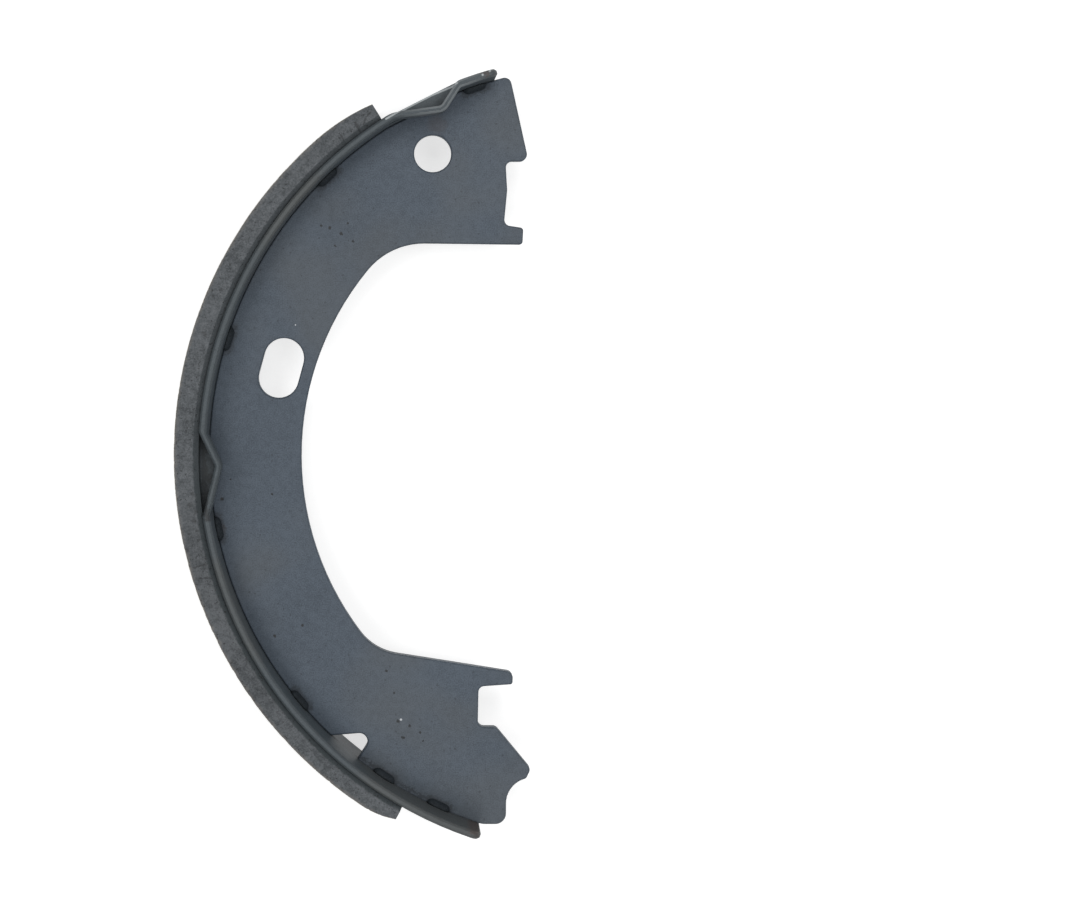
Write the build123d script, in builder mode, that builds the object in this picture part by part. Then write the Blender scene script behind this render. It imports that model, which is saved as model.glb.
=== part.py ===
"""Bonded drum brake shoe: a stamped web, a rolled rim with pressed V notches, a moulded lining and weld nuggets.

Millimetres. The shoe lies on one side edge of its rim, +Z along the drum's axis. Outlines are drawn from above
with the drum's axis as their origin; the shoe stands on the -X side of it. Angles are degrees above the line from
the axis to the shoe's middle.
"""
from build123d import *
from math import asin, cos, degrees, hypot, radians, sin
import os

os.makedirs("parts", exist_ok=True)

# Drum and friction face
drum_radius = 100.0
drum_clearance = 0.2
lining_radius = drum_radius - drum_clearance

# Rim: a rolled strip, its centre a little off the drum's axis because the lining is ground after bonding
rim_depth = 4.5
rim_radius = drum_radius - rim_depth
rim_thickness = 1.8
rim_inner_radius = rim_radius - rim_thickness
rim_width = 25.6
rim_x = 1.48
rim_y = -0.36
rim_top_angle = 75.0
rim_bottom_angle = -72.5
rim_end_corner = 2.3
rim_arris = 0.5

# Pressed V notches in both side strips of the rim, which leave a ridge between them
notch_width = 4.6
notch_sheet = 1.55
notch_wall = 1.5
ridge_floor = notch_width + notch_wall
notch_bend = 1.4
notch_shoulder = 2.6
end_notch_land = 5.9
end_notch_short_run = 3.5
end_notch_long_run = 6.8
end_notch_lead_in = 8.0
end_notch_depth = 4.0
mid_notch_apex = -1.4
mid_notch_short_run = 4.9
mid_notch_long_run = 7.2
mid_notch_depth = 4.0

# The rolled ridge is a little flattened where the end notch was pressed
ridge_flat_sink = 0.45
ridge_flat_run = 8.4

# Half-moon stake mark in the ridge, beside the end notch's short flank, with a nib left standing in it
stake_width = 4.4
stake_length = 5.0
stake_depth = 1.2
stake_nib_width = 1.9
stake_nib_length = 2.2
stake_lead = 0.2

# Lining: its ends are cut along the drum's radii and its outer face is eased towards them
lining_margin = 0.4
lining_width = rim_width - 2 * lining_margin
lining_arris = 1.2
lining_top_gap = 0.15
lining_bottom_angle = -60.5
lining_top_ease = 9.2
lining_top_drop = 1.2
lining_bottom_ease = 4.9
lining_bottom_drop = 1.4

# Web: a flat plate welded to the middle of the rim
web_thickness = 3.2
web_floor = (rim_width - web_thickness) / 2
web_arris = 0.3
touching = 0.01
web_depth = 22.84
bay_x = rim_x - 0.5
bay_y = rim_y - 0.5
bay_radius = rim_inner_radius - web_depth
bay_top_angle = 46.6
bay_top_round = 17.6
bay_bottom_angle = -41.7
bay_bottom_round = 13.5

# Upper arm of the web: end face, nose, strut notch and lip
upper_overrun = 2.1
upper_tip_round = 1.7
upper_face_height = 20.6
upper_face_lean = 4.55
upper_nose_round = 1.7
strut_notch_depth = 5.6
strut_notch_height = 15.4
strut_notch_bow = 0.4
strut_notch_bow_drop = 7.0
strut_notch_slant = 0.4
strut_notch_round = 1.5
upper_lip_reach = 4.7
upper_lip_slant = 0.7
upper_lip_height = 4.05
upper_lip_lean = 0.2
upper_lip_round = 0.8

# Lower arm of the web: tail, anchor hollow, tip, ramp, adjuster notch and lip
lower_overrun = 0.48
tail_length = 5.57
tail_round = 2.6
hollow_radius = 6.2
hollow_rise = 4.97
hollow_end_angle = 102.5
tip_reach = 1.1
tip_height = 2.3
tip_round = 1.3
tip_heel_round = 0.9
ramp_run = 8.4
ramp_rise = 10.15
ramp_round = 1.6
adjuster_notch_depth = 4.4
adjuster_notch_height = 9.8
adjuster_notch_lean = 0.2
adjuster_notch_round = 1.5
lower_lip_reach = 8.2
lower_lip_slant = 0.55
lower_lip_height = 2.9
lower_lip_lean = 0.15
lower_lip_round = 0.6
lower_lip_top_round = 1.6

# Openings in the web
anchor_hole_radius = 4.5
anchor_hole_angle = 61.4
anchor_hole_inset = 11.0
hold_down_radius = 4.85
hold_down_travel = 4.97
hold_down_angle = 15.2
hold_down_inset = 14.7
window_start = -45.7
window_end = -52.1
window_corner_angle = -51.5
window_depth = 7.75
window_round = 2.0

# Weld nuggets: short beads in the corner between web and rim, on both faces of the web
weld_first_angle = 45.8
weld_pitch = 28.5
weld_count = 4
weld_end_angles = (71.6, -56.6, -65.8)
nugget_radius = 1.5
nugget_run = 3.0


def rim_point(radius, angle):
    """Point at a radius and an angle about the rim's centre."""
    return Vector(rim_x - radius * cos(radians(angle)), rim_y + radius * sin(radians(angle)))


def drum_point(radius, angle):
    """Point at a radius and an angle about the drum's axis."""
    return Vector(-radius * cos(radians(angle)), radius * sin(radians(angle)))


def drum_angle(point):
    """Angle of a point about the drum's axis."""
    return degrees(asin(point.Y / hypot(point.X, point.Y)))


# The shoe reaches from the lining's crown to the tip of the lower arm, and from one rim end to the other
tail_start = rim_point(rim_inner_radius, rim_bottom_angle - lower_overrun)
tail_corner = tail_start + Vector(tail_length, 0)
hollow_centre = tail_corner + Vector(hollow_radius, hollow_rise)
tip_heel = hollow_centre + Vector(hollow_radius, 0).rotate(Axis.Z, hollow_end_angle)
tip_corner = tip_heel + Vector(tip_reach, tip_height)
shoe_top = rim_point(rim_radius, rim_top_angle).Y
shoe_bottom = rim_point(rim_radius, rim_bottom_angle).Y
drum_x = (lining_radius - tip_corner.X) / 2
drum_y = -(shoe_top + shoe_bottom) / 2


def level(height):
    """Plane across the drum's axis at a height above the surface that the shoe lies on."""
    return Plane(origin=(drum_x, drum_y, height))


end_notch_apex = rim_top_angle - end_notch_land - end_notch_short_run
end_notch = (end_notch_apex - end_notch_long_run, end_notch_apex, end_notch_apex + end_notch_short_run)
mid_notch = (mid_notch_apex - mid_notch_long_run, mid_notch_apex, mid_notch_apex + mid_notch_short_run)
flat = (end_notch_apex - ridge_flat_run, end_notch_apex + end_notch_short_run)


def plain_band():
    """Rim seen from above without its notches."""
    with BuildSketch(mode=Mode.PRIVATE) as band:
        with BuildLine():
            sweep_angle = rim_top_angle - rim_bottom_angle
            outer = CenterArc((rim_x, rim_y), rim_radius, 180 - rim_top_angle, sweep_angle)
            inner = CenterArc((rim_x, rim_y), rim_inner_radius, 180 - rim_top_angle, sweep_angle)
            Line(outer @ 0, inner @ 0)
            Line(outer @ 1, inner @ 1)
        make_face()
    return band.sketch


def notch_pocket(angles, depth, growth=0.0):
    """What a V notch takes out of the rim, grown by the sheet's thickness for the metal pushed inwards."""
    start = rim_point(rim_radius, angles[0])
    apex = rim_point(rim_radius - depth, angles[1])
    end = rim_point(rim_radius, angles[2])
    with BuildSketch(mode=Mode.PRIVATE) as pocket:
        with BuildLine():
            Polyline(start, apex, end)
            RadiusArc(start, end, rim_radius, short_sagitta=True)
        make_face()
        fillet(pocket.vertices().sort_by_distance(apex)[0], notch_bend)
        if growth:
            offset(amount=growth)
            with Locations((rim_x, rim_y)):
                Circle(rim_radius, mode=Mode.INTERSECT)
    return pocket.sketch


def flat_sliver(radius):
    """What the flattening takes off the ridge's outer face, or adds to its inner face."""
    start = rim_point(radius, flat[0])
    end = rim_point(radius, flat[1])
    with BuildSketch(mode=Mode.PRIVATE) as sliver:
        with BuildLine():
            ThreePointArc(start, rim_point(radius - ridge_flat_sink, sum(flat) / 2), end)
            RadiusArc(start, end, radius, short_sagitta=True)
        make_face()
    return sliver.sketch


# Rim: the ridge and its flattened stretch, the walls that close the notches, and the side strips
with BuildPart() as rim:
    with BuildSketch(level(ridge_floor)):
        add(plain_band())
        add(flat_sliver(rim_inner_radius))
        add(flat_sliver(rim_radius), mode=Mode.SUBTRACT)
    extrude(amount=rim_width - 2 * ridge_floor)

    with BuildSketch(level(notch_width), level(rim_width - ridge_floor)):
        add(plain_band())
        add(flat_sliver(rim_inner_radius))
        add(notch_pocket(end_notch, end_notch_depth, notch_sheet))
        add(notch_pocket(mid_notch, mid_notch_depth, notch_sheet))
        add(flat_sliver(rim_radius), mode=Mode.SUBTRACT)
    extrude(amount=notch_wall)

    with BuildSketch(level(0), level(rim_width - notch_width)) as strips:
        add(plain_band())
        add(notch_pocket(end_notch, end_notch_depth, notch_sheet))
        add(notch_pocket(mid_notch, mid_notch_depth, notch_sheet))
        add(notch_pocket(end_notch, end_notch_depth), mode=Mode.SUBTRACT)
        add(notch_pocket(mid_notch, mid_notch_depth), mode=Mode.SUBTRACT)
        for angle, bend in (
            (end_notch[0], end_notch_lead_in),
            (end_notch[2], notch_shoulder),
            (mid_notch[0], notch_shoulder),
            (mid_notch[2], notch_shoulder),
        ):
            fillet(strips.vertices().sort_by_distance(rim_point(rim_radius, angle))[0], bend)
            inner_bends = strips.vertices().sort_by_distance(rim_point(rim_inner_radius, angle))
            fillet(inner_bends[0], bend - rim_thickness)
    extrude(amount=notch_width)

    for end_angle in (rim_top_angle, rim_bottom_angle):
        end_middle = rim_point(rim_radius - rim_thickness / 2, end_angle)
        rim_end = rim.faces().sort_by_distance(level(rim_width / 2).from_local_coords(end_middle))[0]
        fillet(rim_end.edges().filter_by(Axis.Z, reverse=True), rim_end_corner)
    side_faces = rim.faces().filter_by(Axis.Z).group_by(Axis.Z)
    chamfer(side_faces[0].edges() + side_faces[-1].edges(), rim_arris)

    # Half-moon stake mark
    stake_angle = end_notch_apex + degrees(stake_lead / rim_radius)
    stake_out = (rim_point(1, stake_angle) - rim_point(0, stake_angle)).normalized()
    stake_centre = level(rim_width / 2).from_local_coords(rim_point(rim_radius, stake_angle))
    with BuildSketch(Plane(origin=stake_centre, x_dir=stake_out.rotate(Axis.Z, -90), z_dir=stake_out)):
        Ellipse(stake_length, stake_width / 2)
        Ellipse(stake_nib_length, stake_nib_width / 2, mode=Mode.SUBTRACT)
        Rectangle(stake_length, stake_width, align=(Align.MAX, Align.CENTER), mode=Mode.SUBTRACT)
    extrude(amount=-stake_depth, mode=Mode.SUBTRACT)

# Lining
lining_top = rim_point(rim_radius, flat[0] - lining_top_gap)
lining_bottom = rim_point(rim_radius, lining_bottom_angle)
lining_top_end = drum_angle(lining_top)
lining_bottom_end = drum_angle(lining_bottom)
ease_top = lining_top_end - lining_top_ease
ease_bottom = lining_bottom_end + lining_bottom_ease
with BuildPart() as lining:
    with BuildSketch(level(lining_margin)):
        with BuildLine():
            face = CenterArc((0, 0), lining_radius, 180 - ease_top, ease_top - ease_bottom)
            top_ease = TangentArc(
                face @ 0, drum_point(lining_radius - lining_top_drop, lining_top_end), tangent=-(face % 0)
            )
            bottom_ease = TangentArc(
                face @ 1, drum_point(lining_radius - lining_bottom_drop, lining_bottom_end), tangent=face % 1
            )
            Line(top_ease @ 1, lining_top)
            Line(bottom_ease @ 1, lining_bottom)
            ThreePointArc(lining_top, rim_point(rim_radius, 0), lining_bottom)
        make_face()
    extrude(amount=lining_width)
    bonded_edges = lining.edges().filter_by(GeomType.CIRCLE)
    chamfer(bonded_edges.filter_by(lambda edge: abs(edge.radius - rim_radius) < touching), lining_arris)

# Web
upper_tip = rim_point(rim_inner_radius, rim_top_angle + upper_overrun)
upper_nose = upper_tip + Vector(upper_face_lean, -upper_face_height)
strut_top = upper_nose + Vector(-strut_notch_depth, 0)
strut_back = strut_top + Vector(strut_notch_bow, -strut_notch_bow_drop)
strut_bottom = strut_top + Vector(-strut_notch_slant, -strut_notch_height)
upper_lip_top = strut_bottom + Vector(upper_lip_reach, -upper_lip_slant)
upper_lip_bottom = upper_lip_top + Vector(-upper_lip_lean, -upper_lip_height)
bay_top = Vector(bay_x, bay_y) + drum_point(bay_radius, bay_top_angle)
bay_bottom = Vector(bay_x, bay_y) + drum_point(bay_radius, bay_bottom_angle)
ramp_top = tip_corner + Vector(-ramp_run, ramp_rise)
adjuster_bottom = ramp_top + Vector(-adjuster_notch_depth, 0)
adjuster_top = adjuster_bottom + Vector(adjuster_notch_lean, adjuster_notch_height)
lower_lip_bottom = adjuster_top + Vector(lower_lip_reach, lower_lip_slant)
lower_lip_top = lower_lip_bottom + Vector(lower_lip_lean, lower_lip_height)

web_rounds = (
    (upper_tip, upper_tip_round),
    (upper_nose, upper_nose_round),
    (strut_top, strut_notch_round),
    (strut_bottom, strut_notch_round),
    (upper_lip_top, upper_lip_round),
    (upper_lip_bottom, upper_lip_round),
    (bay_top, bay_top_round),
    (bay_bottom, bay_bottom_round),
    (lower_lip_top, lower_lip_top_round),
    (lower_lip_bottom, lower_lip_round),
    (adjuster_top, adjuster_notch_round),
    (adjuster_bottom, adjuster_notch_round),
    (ramp_top, ramp_round),
    (tip_corner, tip_round),
    (tip_heel, tip_heel_round),
    (tail_corner, tail_round),
)
with BuildPart() as web:
    with BuildSketch(level(web_floor)) as web_face:
        with BuildLine():
            ThreePointArc(tail_start, rim_point(rim_inner_radius, 0), upper_tip)
            Polyline(upper_tip, upper_nose, strut_top, strut_back, strut_bottom)
            Polyline(strut_bottom, upper_lip_top, upper_lip_bottom, bay_top)
            ThreePointArc(bay_top, Vector(bay_x - bay_radius, bay_y), bay_bottom)
            Polyline(bay_bottom, lower_lip_top, lower_lip_bottom, adjuster_top)
            Polyline(adjuster_top, adjuster_bottom, ramp_top, tip_corner, tip_heel)
            RadiusArc(tip_heel, hollow_centre - Vector(hollow_radius, 0), -hollow_radius)
            Polyline(hollow_centre - Vector(hollow_radius, 0), tail_corner, tail_start)
        make_face()
        for corner, radius in web_rounds:
            fillet(web_face.vertices().sort_by_distance(corner)[0], radius)

        with Locations(rim_point(rim_inner_radius - anchor_hole_inset, anchor_hole_angle)):
            Circle(anchor_hole_radius, mode=Mode.SUBTRACT)
        with Locations(rim_point(rim_inner_radius - hold_down_inset, hold_down_angle)):
            along_rim = 90 - hold_down_angle
            SlotCenterToCenter(hold_down_travel, 2 * hold_down_radius, along_rim, mode=Mode.SUBTRACT)
        window_corner = rim_point(rim_inner_radius - window_depth, window_corner_angle)
        with BuildSketch(mode=Mode.PRIVATE) as window:
            with BuildLine():
                Polyline(
                    rim_point(rim_radius, window_end),
                    window_corner,
                    rim_point(rim_radius, window_start),
                    close=True,
                )
            make_face()
            fillet(window.vertices().sort_by_distance(window_corner)[0], window_round)
        add(window.sketch, mode=Mode.SUBTRACT)
        add(flat_sliver(rim_inner_radius), mode=Mode.SUBTRACT)
    extrude(amount=web_thickness)
    flat_edges = web.faces().filter_by(Axis.Z).edges()
    free_edges = flat_edges.filter_by(lambda edge: rim.part.distance_to(edge @ 0.5) > touching)
    chamfer(free_edges, web_arris)

# Weld nuggets
weld_angles = [weld_first_angle - weld_pitch * index for index in range(weld_count)] + list(weld_end_angles)
with BuildPart() as bead:
    Cylinder(nugget_radius, nugget_run, rotation=(90, 0, 0))
    with Locations((0, nugget_run / 2, 0), (0, -nugget_run / 2, 0)):
        Sphere(nugget_radius)
with BuildPart() as weld_nuggets:
    for height in (web_floor, web_floor + web_thickness):
        for angle in weld_angles:
            corner_point = level(height).from_local_coords(rim_point(rim_inner_radius, angle))
            with Locations(Location(corner_point, (0, 0, -angle))):
                add(bead.part)
    add(web.part, mode=Mode.SUBTRACT)
    add(rim.part, mode=Mode.SUBTRACT)

rim.part.label = "rim"
lining.part.label = "lining"
web.part.label = "web"
weld_nuggets.part.label = "weld_nuggets"
export_step(rim.part, "parts/rim.step")
export_step(lining.part, "parts/lining.step")
export_step(web.part, "parts/web.step")
export_step(weld_nuggets.part, "parts/weld_nuggets.step")
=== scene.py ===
"""Looks of a bonded drum brake shoe that lies on one side edge of its rim.

Everything is in metres in the row's frame, with +Z along the drum's axis. The web, the rim and the
weld nuggets keep their CAD nodes and are dressed. The friction block is a new surface with chipped
arrises that stands for the CAD lining.
"""
import logging
import math
from dataclasses import dataclass, field
from enum import Enum
from functools import reduce

import bpy
import numpy as np
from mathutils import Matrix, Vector
from numpy.typing import NDArray


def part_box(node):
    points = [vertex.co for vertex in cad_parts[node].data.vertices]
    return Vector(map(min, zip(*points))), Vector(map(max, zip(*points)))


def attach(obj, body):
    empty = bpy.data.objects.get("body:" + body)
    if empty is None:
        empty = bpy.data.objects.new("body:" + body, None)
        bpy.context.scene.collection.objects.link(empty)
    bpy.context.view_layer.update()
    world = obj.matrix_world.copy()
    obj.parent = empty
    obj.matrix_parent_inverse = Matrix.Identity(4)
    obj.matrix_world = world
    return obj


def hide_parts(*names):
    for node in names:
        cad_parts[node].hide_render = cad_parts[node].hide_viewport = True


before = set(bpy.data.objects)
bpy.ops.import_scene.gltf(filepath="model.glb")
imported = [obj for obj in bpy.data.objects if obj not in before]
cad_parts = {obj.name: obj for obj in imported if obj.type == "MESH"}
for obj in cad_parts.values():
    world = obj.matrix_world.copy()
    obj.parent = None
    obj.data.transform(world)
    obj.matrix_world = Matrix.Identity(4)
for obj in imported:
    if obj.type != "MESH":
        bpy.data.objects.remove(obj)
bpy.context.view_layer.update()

Array = NDArray[np.float64]
Socket = bpy.types.NodeSocket
LOG = logging.getLogger("brake_shoe")

MM = 0.001
MIDDLE = 0.5  # Middle of a noise's values.
FLAT = (1.0, 1.0, 0.0)  # Takes the height out of a point when multiplied with it.
WHITE = (1.0, 1.0, 1.0, 1.0)

# Odd factors of the lattice's hash, and the 32 bits that it keeps.
HASH_COLUMN, HASH_ROW, HASH_SEED, HASH_STIR = 374761393, 668265263, 974634777, 1274126177
HASH_BITS = 0xFFFFFFFF

# Where a mark's mask starts and where it is full, in shares of its radius or of its width.
SPOT_FADE = (1.3, 0.5)
STROKE_FADE = (0.7, 0.2)
MARK_WANDER_SCALE = 1500.0

# Places of the Mix node's share, first colour and second colour, and of the mixed colour.
MIX_INPUTS, MIX_OUTPUT = (0, 6, 7), 2


def linear(code: str) -> tuple[float, float, float, float]:
    """Scene-linear colour of a screen colour, by the standard curve of screens.

    Args:
        code: The colour as a hex string such as "#555b64".

    Returns:
        Red, green, blue and a full alpha.
    """
    shares = [int(code[i : i + 2], 16) / 255 for i in (1, 3, 5)]
    red, green, blue = (c / 12.92 if c <= 0.04045 else ((c + 0.055) / 1.055) ** 2.4 for c in shares)
    return red, green, blue, 1.0


def lattice_noise(u: Array, v: Array, pitch: float, seed: int) -> Array:
    """Smooth random heights from -1 to 1.

    Each corner of a square lattice gets a height from an integer hash of its column, row and seed.
    Between the four corners round a point, the heights are mixed by the smoothstep 3t^2 - 2t^3 of
    its place in the cell.

    Args:
        u: First coordinate of the points.
        v: Second coordinate of the points.
        pitch: Side of a lattice cell, in the coordinates' unit.
        seed: Picks one of many such fields.

    Returns:
        A height for each point.
    """
    column, row = np.floor(u / pitch), np.floor(v / pitch)
    across, along = u / pitch - column, v / pitch - row
    across, along = across * across * (3 - 2 * across), along * along * (3 - 2 * along)

    def corner(step_u: int, step_v: int) -> Array:
        """Hashed heights of the lattice's corners.

        Args:
            step_u: Columns on from each point's own.
            step_v: Rows on from each point's own.

        Returns:
            The height of that corner for each point.
        """
        mixed = (column.astype(np.int64) + step_u) * HASH_COLUMN
        mixed = mixed + (row.astype(np.int64) + step_v) * HASH_ROW
        mixed = (mixed + seed * HASH_SEED) & HASH_BITS
        mixed = ((mixed ^ (mixed >> 13)) * HASH_STIR) & HASH_BITS
        return (mixed ^ (mixed >> 16)) / 2**31 - 1

    low = corner(0, 0) * (1 - across) + corner(1, 0) * across
    high = corner(0, 1) * (1 - across) + corner(1, 1) * across
    return low * (1 - along) + high * along


@dataclass(frozen=True)
class Noise:
    """A noise: its features per metre, its octaves, and the share of each octave in the next."""

    scale: float
    detail: float = 2.0
    roughness: float = 0.5


@dataclass(frozen=True)
class Ramp:
    """A smooth ramp: where it starts and ends, and what it gives there and beyond."""

    low: float
    high: float
    to_low: float = 0.0
    to_high: float = 1.0


class Board:
    """A node tree with short ways to add nodes and to join them."""

    def __init__(self, tree: bpy.types.NodeTree) -> None:
        """Takes the tree that the nodes go into."""
        self.tree = tree

    def node(self, kind: str, **settings: object) -> bpy.types.Node:
        """Adds one node.

        Args:
            kind: Blender's name for the kind of node.
            settings: The node's own properties, by name.

        Returns:
            The new node.
        """
        made = self.tree.nodes.new(kind)
        for name, value in settings.items():
            setattr(made, name, value)
        return made

    def feed(self, target: Socket, value: object) -> None:
        """Links a socket to an input, or sets the input to a plain value.

        Args:
            target: The input.
            value: A socket, a number, a vector or a colour.
        """
        if isinstance(value, bpy.types.NodeSocket):
            self.tree.links.new(value, target)
        else:
            target.default_value = value

    def feed_all(self, node: bpy.types.Node, **inputs: object) -> bpy.types.Node:
        """Feeds several inputs of a node.

        Args:
            node: The node.
            inputs: Sockets or plain values by the input's name, with _ for a space.

        Returns:
            The same node.
        """
        for name, value in inputs.items():
            self.feed(node.inputs[name.replace("_", " ")], value)
        return node

    def effect(self, group: bpy.types.NodeTree, **inputs: object) -> bpy.types.Node:
        """Places a shared effect, its inputs fed as in feed_all."""
        return self.feed_all(self.node("ShaderNodeGroup", node_tree=group), **inputs)

    def math(
        self, operation: str, first: object, second: object = 0.0, clamp: bool = False
    ) -> Socket:
        """Adds a Math node.

        Args:
            operation: Blender's name for the operation.
            first: Socket or number for the first input.
            second: Socket or number for the second input.
            clamp: Whether the result is kept from 0 to 1.

        Returns:
            The result's socket.
        """
        made = self.node("ShaderNodeMath", operation=operation, use_clamp=clamp)
        self.feed(made.inputs[0], first)
        self.feed(made.inputs[1], second)
        return made.outputs[0]

    def largest(self, masks: list[Socket]) -> Socket:
        """Largest of several masks at each point."""
        return reduce(lambda best, mask: self.math("MAXIMUM", best, mask), masks)

    def vector_node(self, operation: str, first: object, second: object) -> bpy.types.Node:
        """Adds a Vector Math node.

        Args:
            operation: Blender's name for the operation.
            first: Socket or vector for the first input.
            second: Socket or vector for the second input.

        Returns:
            The node, whose result may be a vector or a value.
        """
        made = self.node("ShaderNodeVectorMath", operation=operation)
        self.feed(made.inputs[0], first)
        self.feed(made.inputs[1], second)
        return made

    def vector(self, operation: str, first: object, second: object = (0.0, 0.0, 0.0)) -> Socket:
        """Vector that a Vector Math node gives."""
        return self.vector_node(operation, first, second).outputs["Vector"]

    def measure(self, operation: str, first: object, second: object = (0.0, 0.0, 0.0)) -> Socket:
        """Number that a Vector Math node gives."""
        return self.vector_node(operation, first, second).outputs["Value"]

    def noise(self, vector: object, kind: Noise, scale: Socket | None = None) -> Socket:
        """Adds a Noise Texture.

        Args:
            vector: Socket with the coordinates.
            kind: The noise.
            scale: Takes the place of the noise's own scale where it is given.

        Returns:
            The socket of the grey value, mostly 0.3 to 0.7.
        """
        made = self.feed_all(
            self.node("ShaderNodeTexNoise"),
            Vector=vector,
            Scale=kind.scale if scale is None else scale,
            Detail=kind.detail,
            Roughness=kind.roughness,
        )
        return made.outputs["Fac"]

    def ripple(self, vector: object, kind: Noise, scale: Socket | None = None) -> Socket:
        """Noise about its middle, so as often below 0 as above it."""
        return self.math("SUBTRACT", self.noise(vector, kind, scale), MIDDLE)

    def span(
        self, value: object, low: object, high: object, to_low: float = 0.0, to_high: float = 1.0
    ) -> Socket:
        """Carries a value's range smoothly onto another.

        Args:
            value: Socket or number.
            low: Where the result is to_low.
            high: Where the result is to_high.
            to_low: Result at low and beyond it.
            to_high: Result at high and beyond it.

        Returns:
            The result's socket.
        """
        made = self.feed_all(
            self.node("ShaderNodeMapRange", interpolation_type="SMOOTHSTEP"),
            Value=value,
            From_Min=low,
            From_Max=high,
            To_Min=to_low,
            To_Max=to_high,
        )
        return made.outputs["Result"]

    def ramp(self, value: object, shape: Ramp) -> Socket:
        """Carries a value along a ramp."""
        return self.span(value, shape.low, shape.high, shape.to_low, shape.to_high)

    def mix(self, share: object, first: object, second: object) -> Socket:
        """Mixes two colours.

        Args:
            share: How much of the second colour, a number or a socket.
            first: First colour or its socket.
            second: Second colour or its socket.

        Returns:
            The mixed colour's socket.
        """
        made = self.node("ShaderNodeMix", data_type="RGBA")
        for slot, value in zip(MIX_INPUTS, (share, first, second)):
            self.feed(made.inputs[slot], value)
        return made.outputs[MIX_OUTPUT]

    def tint(self, colour: Socket, mask: Socket, tone: str, share: float = 1.0) -> Socket:
        """Lays a tone over a colour.

        Args:
            colour: Socket of the colour so far.
            mask: Socket that is 1 where the tone lies and 0 elsewhere.
            tone: The tone as a hex string.
            share: How much of the tone shows where the mask is 1.

        Returns:
            The new colour's socket.
        """
        if share != 1.0:
            mask = self.math("MULTIPLY", mask, share)
        return self.mix(mask, colour, linear(tone))

    def bump(self, height: Socket, depth: float, strength: float, **base: Socket) -> Socket:
        """Adds a Bump node.

        Args:
            height: Socket of the heights.
            depth: What a height of 1 measures, in metres.
            strength: Share of the bump that shows.
            base: The normal to start from as Normal, where it isn't the surface's own.

        Returns:
            The socket of the bumped normal.
        """
        made = self.node("ShaderNodeBump")
        self.feed_all(made, Distance=depth, Strength=strength, Height=height, **base)
        return made.outputs["Normal"]


@dataclass(frozen=True)
class EffectSocket:
    """One input or output of a shared effect."""

    name: str
    kind: str = "NodeSocketFloat"
    value: float | None = None


PLACE = EffectSocket("Vector", "NodeSocketVector")


def new_effect(
    name: str, inputs: tuple[EffectSocket, ...], outputs: tuple[EffectSocket, ...]
) -> tuple[bpy.types.NodeTree, Board, bpy.types.Node, bpy.types.Node]:
    """Starts a node group with its sockets.

    Args:
        name: Name of the group.
        inputs: Sockets that each material sets.
        outputs: Sockets that each material reads.

    Returns:
        The group, its board, and its input and output nodes.
    """
    group = bpy.data.node_groups.new(name, "ShaderNodeTree")
    for sockets, way in ((inputs, "INPUT"), (outputs, "OUTPUT")):
        for socket in sockets:
            made = group.interface.new_socket(
                name=socket.name, in_out=way, socket_type=socket.kind
            )
            if socket.value is not None:
                made.default_value = socket.value
    board = Board(group)
    return group, board, board.node("NodeGroupInput"), board.node("NodeGroupOutput")


def mottle_effect() -> bpy.types.NodeTree:
    """Group that breaks a finish up into grain, blotches and clouds.

    Tone is the sum of three noises about their middle, each by its own strength. Height is the
    grain and half of the blotches, for a bump. Each noise's scale is a share of Grain Scale.

    Returns:
        The node group.
    """
    layers = {
        "Grain": Noise(1.0, 2.0, 0.7),
        "Blotch": Noise(0.2, 3.0, 0.6),
        "Cloud": Noise(0.015, 3.0, 0.55),
    }
    strengths = tuple(EffectSocket(name, value=1.0) for name in layers)
    group, board, given, result = new_effect(
        "mottle",
        (PLACE, EffectSocket("Grain Scale", value=3000.0), *strengths),
        (EffectSocket("Tone"), EffectSocket("Height")),
    )
    ripples, parts = [], []
    for name, kind in layers.items():
        scale = board.math("MULTIPLY", given.outputs["Grain Scale"], kind.scale)
        ripples.append(board.ripple(given.outputs["Vector"], kind, scale))
        parts.append(board.math("MULTIPLY", ripples[-1], given.outputs[name]))
    tone = reduce(lambda total, part: board.math("ADD", total, part), parts)
    grain, blotch, _ = ripples
    height = board.math("ADD", grain, board.math("MULTIPLY", blotch, 0.5))
    board.feed_all(result, Tone=tone, Height=height)
    return group


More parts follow.
